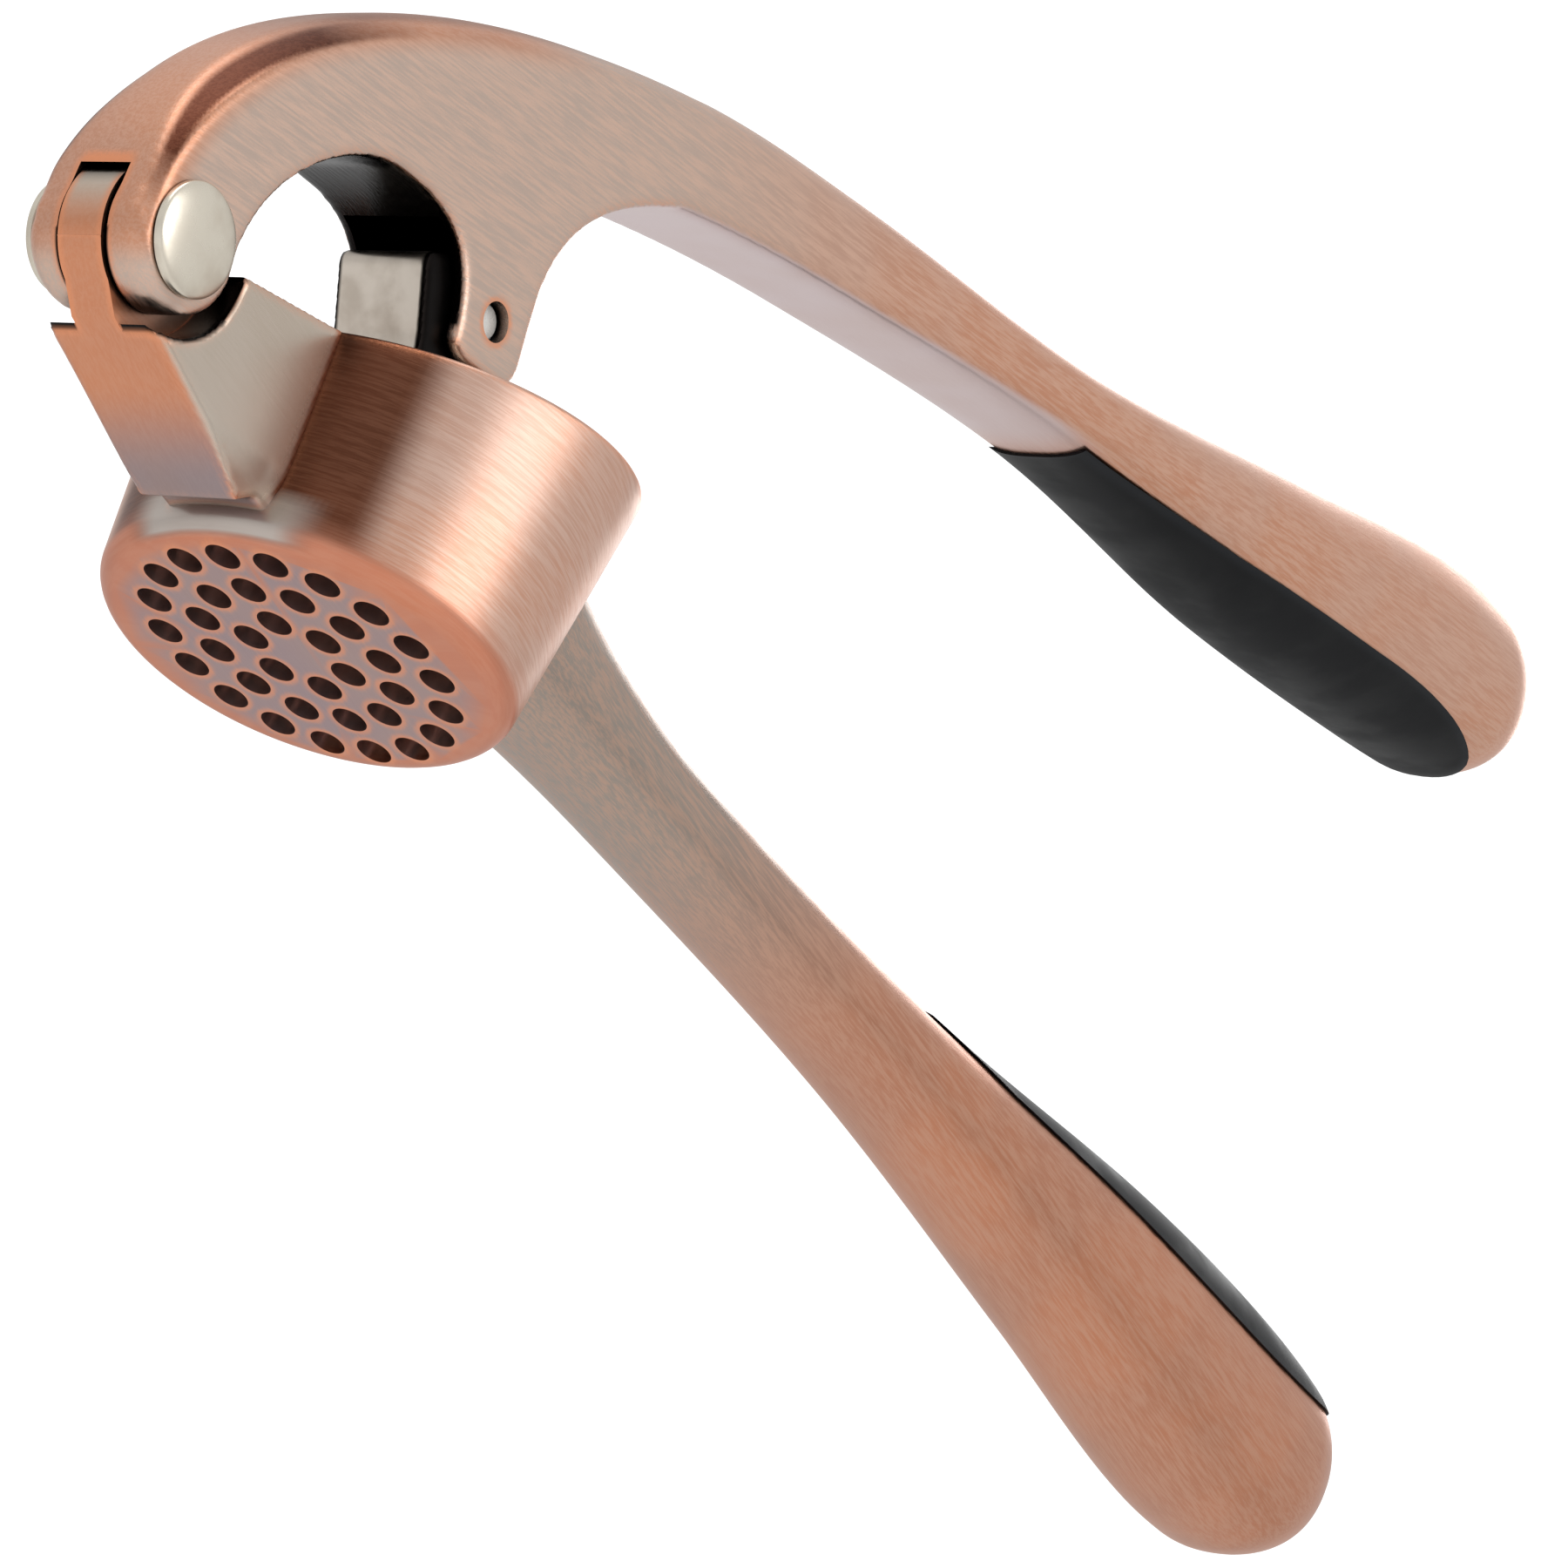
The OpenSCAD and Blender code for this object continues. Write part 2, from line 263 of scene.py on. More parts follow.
upper = {
    "sections": [
        [8, 32, 41.5, 5.3, 4, 9],
        [20, 35.5, 45, 5.3, 3.6, 9],
        [44, 38.5, 47, 5.1, 3, 7],
        [80, 40.5, 48, 6, 2.5, 3],
        [116, 38, 53, 8, 2.2, 2.2],
        [146, 38.5, 57, 8.5, 2.2, 2.2],
        [168, 40, 55, 8, 2.2, 2.2]],
    "end": 164.5,
    "halfWidth": 5.3,
    "bossRadius": 5.1,
    "slotWidth": 4.4,
    "slotRadius": 5.75,
    "lugSlotWidth": 8.7,
    "barrelRadius": 2.5,
    "pinRadius": 1.5,
    "forkRoom": ((-8, -8), (6.5, -8), (4.5, 0), (2, 5.3), (-5, 2.8), (-8, 2.8)),  # from the hinge
    "lugRoom": ((-9.2, -2.5), (-9.4, 3.6), (-7.6, 5), (-2, 4.6),                  # from the pin
                (2.2, 3.6), (4.2, 1), (6, -8), (-6, -8)),
    # edge of the crown, at shares of the way from the hinge to the handle: how
    # far it reaches down the side, and what it takes off each side at the top
    "cornerReach": ((0, 0.06, 0.2, 0.45, 1.0), (0.9, 0.9, 1.5, 2.1, 2.6)),
    "cornerDepth": ((0, 0.06, 0.2, 0.45, 0.8, 1.0), (0.9, 0.9, 3.0, 4.0, 4.0, 2.6)),
    "voxel": 0.32,
}

lower = {
    "sections": [
        [10, 8, 22.5, 8.5, 2.4, 2.4],
        [24, 10.5, 20.5, 6.5, 2.4, 2.4],
        [40, 12.5, 20.5, 5.7, 2.4, 2.4],
        [80, 16, 25.5, 6.5, 2.2, 2.2],
        [118, 16.5, 33, 8, 2.2, 2.2],
        [146, 16.5, 36.5, 8.5, 2.2, 2.2],
        [168, 21, 36, 8, 2.2, 2.2]],
    "end": 163.5,
    "hopperLength": 14.2,
    "hopperWidth": 16.6,
    "flareLength": 0.102,
    "flareWidth": 0.098,
    "drift": -0.061,
    "rimHeight": 19.6,
    "rimTilt": 11,
    "wall": 1.5,
    "rimRound": 0.45,
    "sieve": 1.9,
    "holeRadius": 1.35,
    "holePitch": 3.75,
    "baseRound": 1.6,
    "neckWidth": 10,
    "neckLowWidth": 8.6,
    "seatRadius": 6.65,
    "tongueRadius": 5.3,
    "tongueWidth": 3.8,
    "tongueBore": 2.56,
    "tongueWeb": [(-37.2, 6.9), (-32.5, 3.7), (-24, 2.35), (-24, 11), (-29, 12.5)],
    "voxel": 0.32,
}

grips = {"start": 80, "proud": 0.25}

crown = curve((-37.8, 9.5), (-38.5, 27), (-13.5, 40.5), (20, 44.8), 60)
archInside = (curve((-3.5, 17), (-4, 22), (-7, 24), (-13.5, 24))
              + curve((-14, 24), (-19, 24), (-27.5, 18.5), (-28, 11)))
lugBack = curve((18, 35.2), (8, 31.5), (4.5, 27), (4.5, 20))
archOutline = (crown + lugBack + [(4.5, 16), (3.5, 14.5), (-2, 14.5), (-3.5, 15.5)]
               + archInside + [(hinge.x, hinge.z)])
upperSplit = [(grips["start"], 41), (105, 41.2)] + curve((130, 42), (150, 43), (160, 40), (161, 35))
lowerSplit = [(grips["start"], 25), (92, 25.5)] + curve((104, 27), (128, 30), (160, 31), (161, 38))


def gripRoom(split, far):
    return plate("room", split + [(split[-1][0], far), (grips["start"], far)], -20, 20)


def newGroup(name, inputs, outputs):
    group = bpy.data.node_groups.new(name, "ShaderNodeTree")
    for label, kind, value in inputs:
        s = group.interface.new_socket(label, in_out="INPUT", socket_type="NodeSocket" + kind)
        if value is not None:
            s.default_value = value
    for label, kind in outputs:
        group.interface.new_socket(label, in_out="OUTPUT", socket_type="NodeSocket" + kind)
    return group, group.nodes.new("NodeGroupInput"), group.nodes.new("NodeGroupOutput")


def mathNode(tree, how, a, b=None):
    node = tree.nodes.new("ShaderNodeMath")
    node.operation = how
    for i, v in enumerate((a, b)):
        if v is None:
            continue
        if isinstance(v, (int, float)):
            node.inputs[i].default_value = v
        else:
            tree.links.new(v, node.inputs[i])
    return node.outputs[0]


def spread(tree, value, low, high, toLow=0.0, toHigh=1.0):
    node = tree.nodes.new("ShaderNodeMapRange")
    node.interpolation_type = "SMOOTHSTEP"
    tree.links.new(value, node.inputs["Value"])
    for socket, v in zip(("From Min", "From Max", "To Min", "To Max"), (low, high, toLow, toHigh)):
        node.inputs[socket].default_value = v
    return node.outputs["Result"]


def noise(tree, vector, scale, detail=3.0, roughness=0.55):
    node = tree.nodes.new("ShaderNodeTexNoise")
    node.inputs["Scale"].default_value = scale
    node.inputs["Detail"].default_value = detail
    node.inputs["Roughness"].default_value = roughness
    tree.links.new(vector, node.inputs["Vector"])
    return node.outputs["Fac"]


def blendColour(tree, factor, a, b, how="MIX"):
    node = tree.nodes.new("ShaderNodeMix")
    node.data_type = "RGBA"
    node.blend_type = how
    tree.links.new(factor, node.inputs["Factor"])
    for socket, v in ((node.inputs[6], a), (node.inputs[7], b)):
        if isinstance(v, tuple):
            socket.default_value = v
        else:
            tree.links.new(v, socket)
    return node.outputs[2]


def makeBrushedGroup():
    # long scratches along X of the vector it is given, in millimetres
    g, inn, out = newGroup("brushedLines", [("Vector", "Vector", None)],
                           [("Lines", "Float"), ("Sheen", "Float")])
    layers = []
    for size, detail in (((0.2, 4.0, 4.0), 4.0), ((0.5, 9.0, 9.0), 3.0)):
        m = g.nodes.new("ShaderNodeMapping")
        m.inputs["Scale"].default_value = size
        g.links.new(inn.outputs["Vector"], m.inputs["Vector"])
        layers.append(noise(g, m.outputs["Vector"], 1.0, detail, 0.6))
    both = mathNode(g, "ADD", mathNode(g, "MULTIPLY", layers[0], 0.6),
                    mathNode(g, "MULTIPLY", layers[1], 0.4))
    g.links.new(spread(g, both, 0.37, 0.63), out.inputs["Lines"])
    g.links.new(noise(g, inn.outputs["Vector"], 0.07, 2.0), out.inputs["Sheen"])
    return g


def makeEdgeGroup():
    # rubbed edges, and painted shade that darkens the corners by ambient occlusion
    g, inn, out = newGroup("rubbedEdgesAndCornerShade", [("Grain", "Float", 0.5)],
                           [("Edge", "Float"), ("Corner", "Float")])
    soft = g.nodes.new("ShaderNodeBevel")
    soft.samples = 6
    soft.inputs["Radius"].default_value = 1.3 * mm
    flat = g.nodes.new("ShaderNodeNewGeometry")
    dot = g.nodes.new("ShaderNodeVectorMath")
    dot.operation = "DOT_PRODUCT"
    g.links.new(soft.outputs["Normal"], dot.inputs[0])
    g.links.new(flat.outputs["Normal"], dot.inputs[1])
    near = mathNode(g, "SUBTRACT", 1.0, dot.outputs["Value"])
    rough = mathNode(g, "MULTIPLY", near, mathNode(g, "ADD", inn.outputs["Grain"], 0.6))
    # Corner: painted shade, dark where ambient occlusion finds nearby surfaces
    deep = g.nodes.new("ShaderNodeAmbientOcclusion")
    deep.samples = 6
    deep.inputs["Distance"].default_value = 3 * mm
    g.links.new(spread(g, deep.outputs["AO"], 0.15, 0.75, 1.0, 0.0), out.inputs["Corner"])
    outward = spread(g, deep.outputs["AO"], 0.72, 0.92)
    g.links.new(mathNode(g, "MULTIPLY", spread(g, rough, 0.004, 0.16), outward), out.inputs["Edge"])
    return g


brushedLines = makeBrushedGroup()
rubbedEdgesAndCornerShade = makeEdgeGroup()


def addGroup(tree, group):
    node = tree.nodes.new("ShaderNodeGroup")
    node.node_tree = group
    return node


def srgb(r, g, b):
    def linear(v):
        v /= 255
        return v / 12.92 if v <= 0.04045 else ((v + 0.055) / 1.055) ** 2.4
    return (linear(r), linear(g), linear(b), 1.0)


def newMaterial(name, metallic, slotRoughness):
    mat = bpy.data.materials.new(name)
    mat.use_nodes = True
    shader = mat.node_tree.nodes["Principled BSDF"]
    shader.inputs["Metallic"].default_value = metallic
    shader.inputs["Roughness"].default_value = slotRoughness
    return mat, mat.node_tree, shader


def localMillimetres(tree, turn=0.0):
    # turn lays X along a lever that stands open
    where = tree.nodes.new("ShaderNodeTexCoord")
    scaled = tree.nodes.new("ShaderNodeVectorMath")
    scaled.operation = "SCALE"
    scaled.inputs["Scale"].default_value = 1 / mm
    tree.links.new(where.outputs["Object"], scaled.inputs[0])
    if not turn:
        return scaled.outputs["Vector"]
    turned = tree.nodes.new("ShaderNodeMapping")
    turned.inputs["Rotation"].default_value = (0, turn, 0)
    tree.links.new(scaled.outputs["Vector"], turned.inputs["Vector"])
    return turned.outputs["Vector"]


def splitXyz(tree, vector):
    node = tree.nodes.new("ShaderNodeSeparateXYZ")
    tree.links.new(vector, node.inputs[0])
    return node.outputs


def roundTheHopper(tree, vector):
    # X becomes the way round the hopper, Y its height
    x, y, z = splitXyz(tree, vector)
    turn = mathNode(tree, "MULTIPLY", mathNode(tree, "ARCTAN2", y, x), lower["hopperWidth"])
    joined = tree.nodes.new("ShaderNodeCombineXYZ")
    for value, socket in zip((turn, z), joined.inputs):
        tree.links.new(value, socket)
    return joined.outputs[0]


def zoneValue(tree, label):
    node = tree.nodes.new("ShaderNodeAttribute")
    node.attribute_name = label
    return node.outputs["Fac"]


def linesAlong(tree, vector):
    node = addGroup(tree, brushedLines)
    tree.links.new(vector, node.inputs["Vector"])
    return node


def toneColour(tree, v, lines, here):
    patches = spread(tree, lines.outputs["Sheen"], 0.35, 0.65)
    face = blendColour(tree, patches, v["face"], v["warm"])
    if "fade" in v:      # another tone at the end nearest the hopper
        far = spread(tree, splitXyz(tree, here)[0], v["fadeFrom"], v["fadeTo"])
        face = blendColour(tree, far, v["fade"], face)
    streak = spread(tree, lines.outputs["Lines"], 0.0, 1.0, 0.0, v["streaks"])
    return blendColour(tree, streak, face, v["pale"])


def copper(name, v, zones=(), turn=0.0):
    # zones: label, tone and whether its brush lines go round the hopper
    mat, tree, shader = newMaterial(name, 1.0, v["roughness"])
    here = localMillimetres(tree, turn)
    straight = linesAlong(tree, here)
    colour = toneColour(tree, v, straight, here)
    height = mathNode(tree, "MULTIPLY", straight.outputs["Lines"], v["scratch"])
    gloss = mathNode(tree, "ADD", mathNode(tree, "MULTIPLY", straight.outputs["Lines"], 0.14),
                  v["roughness"] - 0.06)
    for label, tone, around in zones:
        zone = zoneValue(tree, label)
        lines = linesAlong(tree, roundTheHopper(tree, here)) if around else straight
        colour = blendColour(tree, zone, colour, toneColour(tree, tone, lines, here))
        height = blendValue(tree, zone, height, mathNode(tree, "MULTIPLY", lines.outputs["Lines"],
                                                      tone["scratch"]))
        gloss = blendValue(tree, zone, gloss, tone["roughness"])
    edges = addGroup(tree, rubbedEdgesAndCornerShade)
    tree.links.new(straight.outputs["Lines"], edges.inputs["Grain"])
    rubbed = blendColour(tree, edges.outputs["Edge"], colour, v["edge"])
    # painted shade: corners and creases darkened by the occlusion mask
    dark = mathNode(tree, "MULTIPLY", edges.outputs["Corner"], v["cornerShade"])
    colour = blendColour(tree, dark, rubbed, v["corner"])
    # painted shade: near-black in the slots, bores and hollows that the parts around them shade
    if v.get("recessShade"):
        black = zoneValue(tree, "recessShade")
        colour = blendColour(tree, black, colour, v["recessShade"])
        gloss = blendValue(tree, black, gloss, 0.16)
    tree.links.new(colour, shader.inputs["Base Color"])
    tree.links.new(gloss, shader.inputs["Roughness"])
    bump = tree.nodes.new("ShaderNodeBump")
    bump.inputs["Strength"].default_value = 0.6
    bump.inputs["Distance"].default_value = 0.02 * mm
    tree.links.new(height, bump.inputs["Height"])
    tree.links.new(bump.outputs["Normal"], shader.inputs["Normal"])
    return mat


def blendValue(tree, factor, a, b):
    node = tree.nodes.new("ShaderNodeMix")
    tree.links.new(factor, node.inputs["Factor"])
    for socket, v in ((node.inputs[2], a), (node.inputs[3], b)):
        if isinstance(v, (int, float)):
            socket.default_value = v
        else:
            tree.links.new(v, socket)
    return node.outputs[0]


orangeEdge = srgb(238, 158, 116)
# colour of the painted shade in corners and creases
cornerShadeColour = srgb(64, 34, 24)
# the corner weight and the near-black colour in this table are painted shade in corners, slots and
# hollows
upperTone = {
    "face": srgb(210, 160, 136), "warm": srgb(212, 152, 122), "pale": srgb(228, 190, 168),
    "fade": srgb(204, 182, 168), "fadeFrom": 16, "fadeTo": 64,
    "edge": orangeEdge, "corner": cornerShadeColour, "roughness": 0.34,
    "streaks": 0.55, "cornerShade": 0.75, "scratch": 0.5, "recessShade": srgb(20, 16, 15)}
crownTone = {
    "face": srgb(206, 152, 126), "warm": srgb(214, 152, 120), "pale": srgb(226, 184, 162),
    "roughness": 0.33, "streaks": 0.4, "scratch": 0.5}
shadedTone = {
    "face": srgb(80, 44, 32), "warm": srgb(92, 52, 38), "pale": srgb(120, 74, 56),
    "roughness": 0.45, "streaks": 0.35, "scratch": 0.4}
# painted highlight: the handle's underside made paler and pinker
undersideHighlightTone = {
    "face": srgb(226, 206, 206), "warm": srgb(220, 196, 192), "pale": srgb(230, 212, 210),
    "roughness": 0.28, "streaks": 0.15, "scratch": 0.1}
# the corner weight and the near-black colour in this table are painted shade in corners, slots and
# hollows
lowerTone = {
    "face": srgb(194, 134, 106), "warm": srgb(204, 138, 106), "pale": srgb(216, 172, 148),
    "edge": orangeEdge, "corner": cornerShadeColour, "roughness": 0.34,
    "streaks": 0.5, "cornerShade": 0.75, "scratch": 0.5,
    "fade": srgb(164, 152, 142), "fadeFrom": 36, "fadeTo": 78,
    "recessShade": srgb(20, 16, 15)}
hopperTone = {
    "face": srgb(206, 168, 150), "warm": srgb(210, 160, 136), "pale": srgb(228, 198, 182),
    "roughness": 0.36, "streaks": 0.5, "scratch": 0.5}
hopperShadeTone = {
    "face": srgb(98, 60, 44), "warm": srgb(108, 64, 46), "pale": srgb(134, 90, 70),
    "roughness": 0.38, "streaks": 0.45, "scratch": 0.5}
hopperFootTone = {
    "face": srgb(196, 186, 178), "warm": srgb(188, 176, 168), "pale": srgb(206, 196, 188),
    "roughness": 0.3, "streaks": 0.15, "scratch": 0.15}
rimTone = {
    "face": srgb(206, 136, 110), "warm": srgb(212, 138, 108), "pale": srgb(218, 158, 132),
    "roughness": 0.35, "streaks": 0.3, "scratch": 0.3}
neckTone = {
    "face": srgb(206, 194, 180), "warm": srgb(200, 186, 170), "pale": srgb(214, 202, 190),
    "roughness": 0.27, "streaks": 0.2, "scratch": 0.15}
# painted reflection: orange on the neck's front and downward faces, and on the tongue below the
# hinge
orangeNeckReflectionTone = {
    "face": srgb(212, 142, 108), "warm": srgb(216, 146, 110), "pale": srgb(222, 166, 138),
    "roughness": 0.3, "streaks": 0.3, "scratch": 0.25}
neckFootTone = {
    "face": srgb(156, 140, 142), "warm": srgb(160, 138, 134), "pale": srgb(170, 152, 150),
    "roughness": 0.28, "streaks": 0.2, "scratch": 0.15}
sieveTone = {
    "face": srgb(168, 146, 148), "warm": srgb(176, 150, 146), "pale": srgb(182, 160, 158),
    "roughness": 0.4, "streaks": 0.2, "scratch": 0.2}

copperUpper = copper("brushedCopperUpper", upperTone,
                     [("crown", crownTone, False), ("shaded", shadedTone, False),
                      ("under", undersideHighlightTone, False)], turn=openAngle)
copperLower = copper("brushedCopperLower", lowerTone,
                     [("hopper", hopperTone, True), ("hopperShade", hopperShadeTone, True),
                      ("hopperFoot", hopperFootTone, True), ("neck", neckTone, False),
                      ("neckFront", orangeNeckReflectionTone, False), ("neckFoot", neckFootTone, False),
                      ("base", rimTone, True), ("sieve", sieveTone, False)])


def plainMetal(name, face, worn, roughness, smudge, metallic=1.0):
    mat, tree, shader = newMaterial(name, metallic, roughness)
    here = localMillimetres(tree)
    patches = spread(tree, noise(tree, here, smudge, 4.0), 0.35, 0.7)
    edges = addGroup(tree, rubbedEdgesAndCornerShade)
    tree.links.new(patches, edges.inputs["Grain"])
    tone = blendColour(tree, patches, face, worn)
    # painted shade: corners darkened by ambient occlusion
    dark = mathNode(tree, "MULTIPLY", edges.outputs["Corner"], 0.6)
    tone = blendColour(tree, dark, tone, srgb(40, 34, 30))
    # painted shade: near-black where the piece sits shaded inside a slot of the lever
    tone = blendColour(tree, zoneValue(tree, "recessShade"), tone, srgb(20, 17, 16))
    tree.links.new(tone, shader.inputs["Base Color"])
    tree.links.new(spread(tree, patches, 0.0, 1.0, roughness - 0.05, roughness + 0.07),
                   shader.inputs["Roughness"])
    bump = tree.nodes.new("ShaderNodeBump")
    bump.inputs["Strength"].default_value = 0.15
    bump.inputs["Distance"].default_value = 0.005 * mm
    tree.links.new(noise(tree, here, 6.0, 3.0), bump.inputs["Height"])
    tree.links.new(bump.outputs["Normal"], shader.inputs["Normal"])
    return mat


rivetSilver = plainMetal("polishedRivet", srgb(230, 222, 206), srgb(212, 202, 186), 0.32, 0.25)
plungerSteel = plainMetal("satinPlunger", srgb(226, 215, 202), srgb(210, 198, 184), 0.33, 0.3)
pinSteel = plainMetal("paleSteelPin", srgb(244, 242, 237), srgb(232, 229, 223), 0.3, 0.6, 0.3)


def softRubber():
    mat, tree, shader = newMaterial("mattRubber", 0.0, 0.5)
    here = localMillimetres(tree)
    patches = spread(tree, noise(tree, here, 0.12, 3.0), 0.3, 0.7)
    tone = blendColour(tree, patches, srgb(6, 7, 9), srgb(10, 11, 14))
    edges = addGroup(tree, rubbedEdgesAndCornerShade)
    tree.links.new(patches, edges.inputs["Grain"])
    worn = mathNode(tree, "MULTIPLY", edges.outputs["Edge"], 0.4)
    faded = blendColour(tree, worn, tone, srgb(40, 43, 47))
    shader.inputs["Specular IOR Level"].default_value = 0.15
    tree.links.new(faded, shader.inputs["Base Color"])
    tree.links.new(spread(tree, patches, 0.0, 1.0, 0.44, 0.56), shader.inputs["Roughness"])
    bump = tree.nodes.new("ShaderNodeBump")
    bump.inputs["Strength"].default_value = 0.2
    bump.inputs["Distance"].default_value = 0.03 * mm
    tree.links.new(noise(tree, here, 5.0, 4.0), bump.inputs["Height"])
    tree.links.new(bump.outputs["Normal"], shader.inputs["Normal"])
    return mat


rubber = softRubber()
print("materials ready")


def crownEdge(at, v):
    # 0 on the flat side and 1 on the crown's line, and the share of the way from
    # the hinge to the handle
    turns = [math.radians(280 - 90 * i / 24) for i in range(25)]
    front = [(hinge.x + v["bossRadius"] * math.cos(t), hinge.z + v["bossRadius"] * math.sin(t))
             for t in turns]
    depth, along = nearestOnLine(at[:, [0, 2]], front + crown)
    before = v["bossRadius"] * (turns[0] - turns[-1]) + math.dist(front[-1], crown[0])
    share = (along - before) / sum(math.dist(a, b) for a, b in zip(crown, crown[1:]))
    return np.clip(1 - depth / np.interp(share, *v["cornerReach"]), 0, 1), share


def roundTheCrown(obj, v):
    # narrows the head at its outer edge: a flat bevel by the hinge, that opens
    # into the round top of the arch
    co = coords(obj)
    into, share = crownEdge(co, v)
    roundness = np.interp(share, [0.15, 0.45], [0, 1])
    shape = into * (1 - roundness) + (1 - np.sqrt(1 - into ** 2)) * roundness
    co[:, 1] *= 1 - np.interp(share, *v["cornerDepth"]) * shape / v["halfWidth"]
    setCoords(obj, co)


def buildUpperLever(v):
    w = v["halfWidth"]
    centre = (hinge.x, hinge.z)
    head = fuse("head", [plate("plate", archOutline, -w, w),
                         disc("boss", v["bossRadius"], -w, w, centre)], v["voxel"], 2)
    roundTheCrown(head, v)
    body = fuse("upper", [head, handle("handle", v, 12)], v["voxel"], 9)
    slotHalf = v["slotWidth"] / 2
    forkRoom = [(hinge.x + x, hinge.z + z) for x, z in v["forkRoom"]]
    lugRoom = [(plungerPin.x + x, plungerPin.z + z) for x, z in v["lugRoom"]]
    lugHalf = v["lugSlotWidth"] / 2
    cut(body,
        disc("turn", v["slotRadius"], -slotHalf, slotHalf, centre),
        plate("slot", forkRoom, -slotHalf, slotHalf),
        disc("rivetHole", v["barrelRadius"], -9, 9, centre),
        disc("pinHole", v["pinRadius"], -9, 9, (plungerPin.x, plungerPin.z), 64),
        plate("lugRoom", lugRoom, -lugHalf, lugHalf),
        gripRoom(upperSplit, 30))

    def zones(at, normal):
        side = np.abs(normal[:, 1])
        gap, _ = nearestOnLine(at[:, [0, 2]], archInside)
        arch = ease(gap, 0.7, 0.3) * ease(side, 0.8, 0.45) * (at[:, 0] < 0)
        depth, _ = nearestOnLine(at[:, [0, 2]], crown)
        fromHinge = np.hypot(at[:, 0] - hinge.x, at[:, 2] - hinge.z)
        inFork = (np.abs(at[:, 1]) < slotHalf + 0.02) & (fromHinge < 7) & (depth > 0.6)
        inLug = ((np.abs(at[:, 1]) < lugHalf + 0.02) & (at[:, 0] > -10) & (at[:, 0] < 7)
                 & (at[:, 2] < plungerPin.z + 5.2))
        fromPin = np.hypot(at[:, 0] - plungerPin.x, at[:, 2] - plungerPin.z)
        inLug |= (fromPin < v["pinRadius"] + 0.05) & (np.abs(at[:, 1]) < w - 0.1)
        outer = ease(depth, 3.4, 1.0) * (at[:, 0] < 20)
        into, share = crownEdge(at, v)
        wedge = (ease(into, 0.02, 0.25) * ease(into, 1.0, 0.7)
                 * np.interp(share, [0.02, 0.08, 0.34, 0.5], [0, 1, 1, 0]))
        top = ease(into, 0.5, 0.9) * np.interp(share, [0.25, 0.42, 0.7, 1.0], [0, 0.7, 0.6, 0])
        # under: painted highlight on the handle's downward faces
        along = ease(at[:, 0], 6, 12) * ease(at[:, 0], grips["start"] + 4, grips["start"] - 6)
        # painted shade: near-black inside the arch, the fork slot, the lug room and the pin hole
        return {"recessShade": np.maximum(arch, (inFork | inLug) * 1.0),
                "crown": outer * ease(at[:, 0], 8, -8),
                "shaded": np.maximum(wedge, top),
                "under": ease(-normal[:, 2], 0.55, 0.85) * along}

    return finishPiece(body, "upperLever", "upper", "upper_lever",
                       copperUpper, opened, zones)


upperLever = buildUpperLever(upper)
print("upper lever", len(upperLever.data.vertices), "vertices")


def hopperRing(v, height, inset, share=0.0, sides=192):
    # share 0 keeps a level ring at height, 1 lays it in the tilted rim
    tilt = math.tan(math.radians(v["rimTilt"]))
    ring = []
    for i in range(sides):
        t = math.tau * i / sides
        x, y, z = 0.0, 0.0, height
        for _ in range(4):
            z = height + share * x * tilt
            x = v["drift"] * z + (v["hopperLength"] + v["flareLength"] * z - inset) * math.cos(t)
            y = (v["hopperWidth"] + v["flareWidth"] * z - inset) * math.sin(t)
        ring.append((x, y, z))
    return ring


def hopperCup(v):
    rings = []
    base, edge, wall = v["baseRound"], v["rimRound"], v["wall"]
    rim = v["rimHeight"] - edge
    for i in range(9):
        turn = math.pi / 2 * i / 8
        rings.append(hopperRing(v, base * (1 - math.cos(turn)), base * (1 - math.sin(turn))))
    for i in range(1, 12):
        u = i / 12
        rings.append(hopperRing(v, base + (rim - base) * u, 0, u))
    for i in range(9):      # over the rim
        turn = math.pi * i / 8
        rings.append(hopperRing(v, rim + edge * math.sin(turn),
                                wall / 2 * (1 - math.cos(turn)), 1))
    for i in range(1, 12):
        u = 1 - i / 12
        rings.append(hopperRing(v, v["sieve"] + (rim - v["sieve"]) * u, wall, u))
    rings.append(hopperRing(v, v["sieve"] + 0.5, wall))
    rings.append(hopperRing(v, v["sieve"], wall + 0.5))
    return loft("hopper", rings)


def hopperInside(v, inset):
    return loft("inside", [hopperRing(v, z, inset) for z in (0.8, 10, 20, 30)])


def neckSolid(v):
    # front face narrower than the sides, with a facet between that opens
    # towards the hopper
    low, side = v["neckLowWidth"] / 2, v["neckWidth"] / 2
    top = [(-9, 19.4), (-16.9, 16.1), (-28.5, 11.7)]
    front = [(-32.4, 3.7), (-16.9, 0.7), (-15.6, 2), (-9, 2)] + top
    flank = [(-32.4, 4.1), (-23.2, 2.6), (-16.4, 4.7), (-9, 6)] + top
    seat = [(hinge.x, hinge.z)]
    rings = [[(x, y, z) for x, z in outline + seat]
             for y, outline in ((-side, flank), (-low, front), (low, front), (side, flank))]
    return loft("neck", rings)


def sieveHoles(v):
    for ring in range(1, 4):
        for i in range(6 * ring):
            a = math.tau * i / (6 * ring)
            x, y = v["holePitch"] * ring * math.cos(a), v["holePitch"] * ring * math.sin(a)
            circle = [(x + v["holeRadius"] * math.cos(math.tau * k / 40),
                       y + v["holeRadius"] * math.sin(math.tau * k / 40)) for k in range(40)]
            yield [[(px, py, z) for px, py in circle] for z in (-1, v["sieve"] + 1)]


